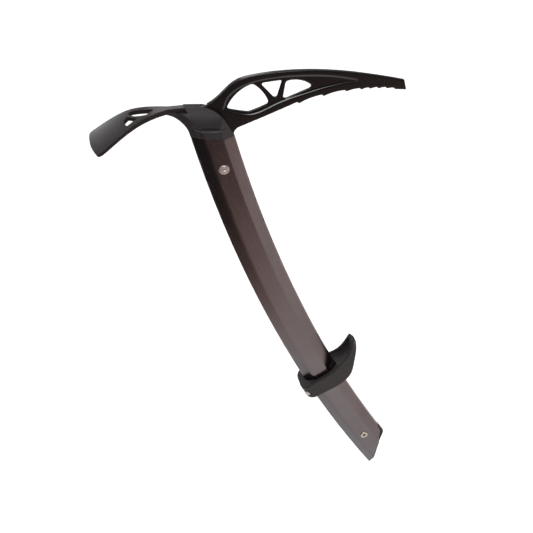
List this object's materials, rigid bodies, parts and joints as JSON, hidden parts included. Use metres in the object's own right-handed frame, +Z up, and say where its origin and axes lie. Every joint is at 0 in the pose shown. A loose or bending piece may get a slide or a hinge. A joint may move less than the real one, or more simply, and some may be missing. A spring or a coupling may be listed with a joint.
{
  "type": "ice axe",
  "caption": "Short mountaineering ice axe with a curved hollow shaft, a pierced toothed pick, a spade adze, a moulded head cover and a sliding hooked finger trigger.",
  "frame": {"origin": "centre of the carabiner hole in the pick, on the middle plane of the axe", "axes": "+Z up along the chord of the curved shaft towards the head, +X the way the pick points, +Y across the axe"},
  "size_m": [0.2653, 0.0439, 0.5339],
  "materials": {
    "shaft_anodised": "fine bead-blasted dark grey anodising, satin",
    "pick_black": "black coating on forged steel, half gloss",
    "adze_grey": "dark grey coating on forged steel, satin",
    "cover_polymer": "fine spark-eroded mould texture",
    "plug_black": "smooth black moulding",
    "spacer_polymer": "glass-filled moulding, unseen",
    "steel_bright": "bright stainless steel",
    "eyelet_metal": "pale plated tubular rivet",
    "trigger_rubber": "firm matt rubber moulding",
    "liner_polymer": "slippery liner",
    "insert_brass": "turned brass insert, unseen",
    "pad_nylon": "natural nylon, unseen"
  },
  "bodies": {
    "axe": {"shaft_tube": "shaft_anodised", "end_plug": "plug_black", "end_eyelet": "eyelet_metal", "end_eyelet_collar": "eyelet_metal", "pick": "pick_black", "adze": "adze_grey", "head_rivets": "steel_bright", "head_cover_left": "cover_polymer", "head_cover_right": "cover_polymer", "tang_spacer_left": "spacer_polymer", "tang_spacer_right": "spacer_polymer", "tang_pin": "steel_bright", "head_bolt": "steel_bright", "head_nut": "steel_bright", "head_bolt_washers": "steel_bright"},
    "trigger": {"trigger_body": "trigger_rubber", "trigger_liner": "liner_polymer", "trigger_insert": "insert_brass"},
    "pad": {"clamp_pad": "pad_nylon"},
    "screw": {"clamp_screw": "steel_bright"}
  },
  "joints": [
    {"name": "trigger_slide", "type": "hinge", "parent": "axe", "child": "trigger", "pos_m": [1.514, 0, -0.245], "axis": [0, 1, 0], "range_deg": [-2.6, 4]},
    {"name": "clamp_pad_travel", "type": "slide", "parent": "trigger", "child": "pad", "axis": [-0.6141, -0.7883, -0.0372], "range_m": [0, 0.0007]},
    {"name": "clamp_screw_turn", "type": "hinge", "parent": "pad", "child": "screw", "pos_m": [-0.06884, -0.00433, -0.34356], "axis": [-0.6141, -0.7883, -0.0372], "range_deg": [0, 360]}
  ],
  "couplings": [
    {"joint": "clamp_screw_turn", "follows": "clamp_pad_travel", "rad_per_m": 8975.9}
  ]
}
